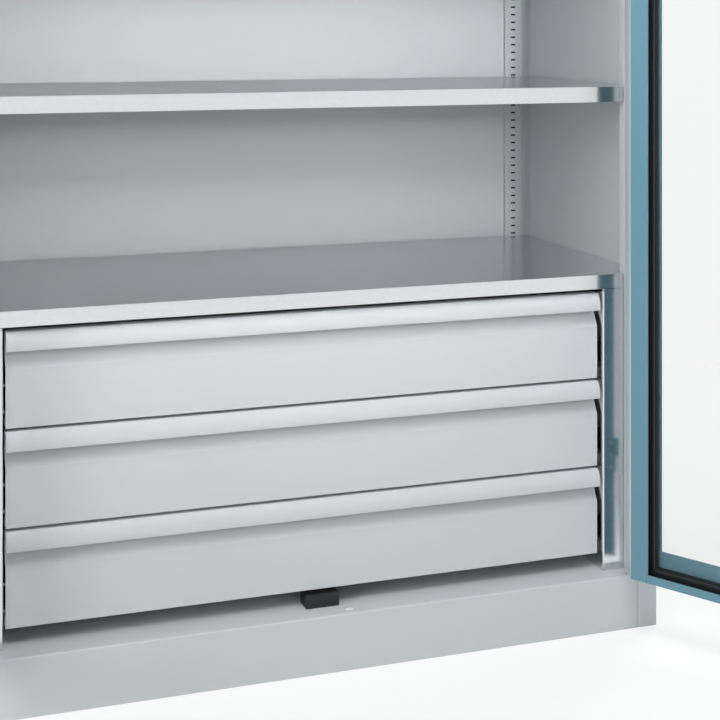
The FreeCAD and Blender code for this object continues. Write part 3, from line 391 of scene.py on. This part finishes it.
def add_turned(mesh, profile, place, axis, steps=24):
    """Adds a turned solid to a mesh: pairs of radius and height along the axis from a place."""
    turn = Vector(axis).to_track_quat("Z", "Y").to_matrix().to_4x4()
    frame = Matrix.Translation(place) @ turn
    rings = []
    for radius, height in profile:
        if radius == 0:
            rings.append([mesh.verts.new(frame @ Vector((0, 0, height)))])
            continue
        angles = [math.tau * step / steps for step in range(steps)]
        ring = [(radius * math.cos(a), radius * math.sin(a), height) for a in angles]
        rings.append([mesh.verts.new(frame @ Vector(point)) for point in ring])
    for low, high in zip(rings, rings[1:]):
        for step in range(steps):
            after = (step + 1) % steps
            corners = [low[step % len(low)], low[after % len(low)]]
            corners += [high[after % len(high)], high[step % len(high)]]
            kept = list(dict.fromkeys(corners))
            if len(kept) > 2:
                mesh.faces.new(kept)


def screw_head(radius, rise):
    """A countersunk socket head, from its rim over the face and down into the recess."""
    return (
        (radius, -rise),
        (radius, rise * 0.4),
        (radius * 0.86, rise),
        (radius * 0.46, rise),
        (radius * 0.40, -rise),
        (0, -rise * 1.4),
    )


def box_around(points):
    """The lowest and highest corners of the box around points."""
    along = list(zip(*points))
    return Vector(map(min, along)), Vector(map(max, along))


def solids_of(frame, name):
    """Boxes of a node's separate solids, from the lowest up."""
    mesh = bmesh.new()
    mesh.from_mesh(frame["nodes"][name].data)
    bmesh.ops.remove_doubles(mesh, verts=mesh.verts, dist=1e-6)
    left, boxes = set(mesh.verts), []
    while left:
        reached, edge = set(), [left.pop()]
        while edge:
            vert = edge.pop()
            reached.add(vert)
            near = {link.other_vert(vert) for link in vert.link_edges} & left
            left -= near
            edge.extend(near)
        boxes.append(box_around(vert.co for vert in reached))
    mesh.free()
    return sorted(boxes, key=lambda box: box[0].z)


def door_frames():
    """For each door, the turn from the shut door's own axes to the open one."""
    frames = {}
    for side, name in SIDES:
        low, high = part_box(f"hinge_pins_{name}")
        axis = Vector(((low[0] + high[0]) / 2, (low[1] + high[1]) / 2, 0))
        mirror = Matrix.Scale(-1, 4, (1, 0, 0)) if side < 0 else Matrix.Identity(4)
        place = Matrix.Translation((abs(axis.x), axis.y, 0))
        frames[name] = mirror @ place @ Matrix.Rotation(math.radians(DOOR_OPEN), 4, "Z")
    return frames


def hinge_screws(frame, doors, material):
    """Three screws in each hinge leaf, on the jambs and on the doors' edges."""
    head = screw_head(SCREW_RADIUS, SCREW_RISE)
    for side, name in SIDES:
        jamb, door = bmesh.new(), bmesh.new()
        place = doors[name]
        pin = place.translation
        outward = place.to_3x3() @ Vector((1, 0, 0))
        for low, _ in solids_of(frame, f"hinge_jamb_leaves_{name}"):
            for share in LEAF_SCREWS:
                height = low.z + HINGE_LENGTH * share
                spot = (side * (abs(pin.x) - LEAF_SHEET), pin.y + LEAF_SCREW_REACH, height)
                add_turned(jamb, head, spot, (-side, 0, 0))
                spot = place @ Vector((LEAF_SHEET - DOOR_SIDE_GAP, LEAF_SCREW_REACH, height))
                add_turned(door, head, spot, outward)
        new_piece(f"hinge_jamb_screws_{name}", jamb, "carcass", material)
        new_piece(f"hinge_door_screws_{name}", door, f"door_{name}", material)


def box_within(frame, name, place):
    """A node's box along the axes of the place that it hangs in."""
    back = place.inverted()
    return box_around(back @ vert.co for vert in frame["nodes"][name].data.vertices)


def handle_screws(frame, doors, material):
    """The two screws that hold the handle plate."""
    place = doors["right"]
    low, high = box_within(frame, "handle_plate", place)
    head = screw_head(PLATE_SCREW_RADIUS, SCREW_RISE)
    outward = place.to_3x3() @ Vector((0, -1, 0))
    mesh = bmesh.new()
    for height in (low.z + PLATE_SCREW_INSET, high.z - PLATE_SCREW_INSET):
        spot = place @ Vector(((low.x + high.x) / 2, low.y, height))
        add_turned(mesh, head, spot, outward)
    new_piece("handle_plate_screws", mesh, "door_right", material)


def add_mitred_frame(mesh, place, low, high, section):
    """Adds a closed rectangular frame: a section of insets from the box's edges and places in y."""
    loops = []
    for inset, y in section:
        x0, x1, z0, z1 = low.x + inset, high.x - inset, low.z + inset, high.z - inset
        corners = ((x0, y, z0), (x1, y, z0), (x1, y, z1), (x0, y, z1))
        loops.append([mesh.verts.new(place @ Vector(corner)) for corner in corners])
    for loop, after in zip(loops, loops[1:] + loops[:1]):
        for index in range(4):
            follow = (index + 1) % 4
            mesh.faces.new((loop[index], loop[follow], after[follow], after[index]))


def glazing_fillers(frame, doors, material):
    """The locking strip pressed into the groove of each rubber ring."""
    for name, place in doors.items():
        low, high = box_within(frame, f"glazing_ring_{name}", place)
        mesh = bmesh.new()
        section = [(inset, high.y + rise) for inset, rise in FILLER_SECTION]
        add_mitred_frame(mesh, place, low, high, section)
        bmesh.ops.recalc_face_normals(mesh, faces=mesh.faces[:])
        new_piece(f"glazing_filler_{name}", mesh, f"door_{name}", material)


def rail_linings(material):
    """A black sheet behind the web of each slotted rail, which paints the shade seen through its
    slots.
    """
    for name in RAILS:
        low, high = (Vector(corner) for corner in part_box(name))
        inward = 1 if "rear" in name else -1
        web = low.y if inward > 0 else high.y
        front = web + inward * RAIL_SHEET + inward * SLOT_SHADE_GAP
        back = front + inward * SLOT_SHADE_SHEET
        width = high.x - low.x - 2 * RAIL_SHEET - 2 * SLOT_SHADE_GAP
        length = high.z - low.z - 4 * RAIL_SHEET
        centre = ((low.x + high.x) / 2, (front + back) / 2, (low.z + high.z) / 2)
        size = Matrix.Diagonal((width, abs(back - front), length, 1))
        mesh = bmesh.new()
        bmesh.ops.create_cube(mesh, size=1.0, matrix=Matrix.Translation(centre) @ size)
        edges = mesh.edges[:]
        bmesh.ops.bevel(mesh, geom=edges, offset=SLOT_SHADE_SHEET / 4, segments=1, affect="EDGES")
        new_piece(f"{name}_lining", mesh, "carcass", material)


def add_softbox(name, azimuth, elevation, level, aim, beam):
    """A square soft lamp aimed at the cabinet; one with a grid has a narrow beam."""
    lamp = bpy.data.lights.new(name, "AREA")
    lamp.size = SOFTBOX_SIZE if beam == OPEN_BEAM else GRID_SIZE
    lamp.spread = math.radians(beam)
    lamp.energy = level * math.pi**2 * SOFTBOX_DISTANCE**2
    if beam < OPEN_BEAM:
        lamp.energy *= math.tan(math.radians(beam / 2)) ** 2
    side, up = math.radians(azimuth), math.radians(elevation)
    away = Vector((math.sin(side) * math.cos(up), -math.cos(side) * math.cos(up), math.sin(up)))
    holder = bpy.data.objects.new(name, lamp)
    bpy.context.scene.collection.objects.link(holder)
    holder.location = Vector((0, 0, aim)) + SOFTBOX_DISTANCE * away
    holder.rotation_euler = away.to_track_quat("Z", "Y").to_euler()
    holder.visible_glossy = False


def make_camera():
    """A level camera, shifted so that the frame takes in the lower part of the cabinet."""
    data = bpy.data.cameras.new("camera")
    data.sensor_width = SENSOR_MM
    data.lens = FOCAL_PIXELS * SENSOR_MM / FRAME_PIXELS
    centre = FRAME_PIXELS / 2
    data.shift_x = (centre - PRINCIPAL[0]) / FRAME_PIXELS
    data.shift_y = (PRINCIPAL[1] - centre) / FRAME_PIXELS
    camera = bpy.data.objects.new("camera", data)
    camera.location = CAMERA_PLACE
    camera.rotation_euler = (math.radians(90), 0, math.radians(-CAMERA_YAW))
    bpy.context.scene.collection.objects.link(camera)
    bpy.context.scene.camera = camera


def main():
    """Loads the cabinet, dresses it, adds its small pieces and sets the studio."""
    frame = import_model()
    bpy.context.scene.view_settings.view_transform = "Standard"
    make_camera()
    materials = make_materials()
    dress(frame, materials)
    doors = door_frames()
    hinge_screws(frame, doors, materials["steel"])
    handle_screws(frame, doors, materials["steel"])
    glazing_fillers(frame, doors, materials["filler"])
    # Black sheets inside the rails paint the shade seen through their slots
    rail_linings(materials["lining"])
    make_floor()
    make_world()
    for softbox in SOFTBOXES:
        add_softbox(*softbox)


main()
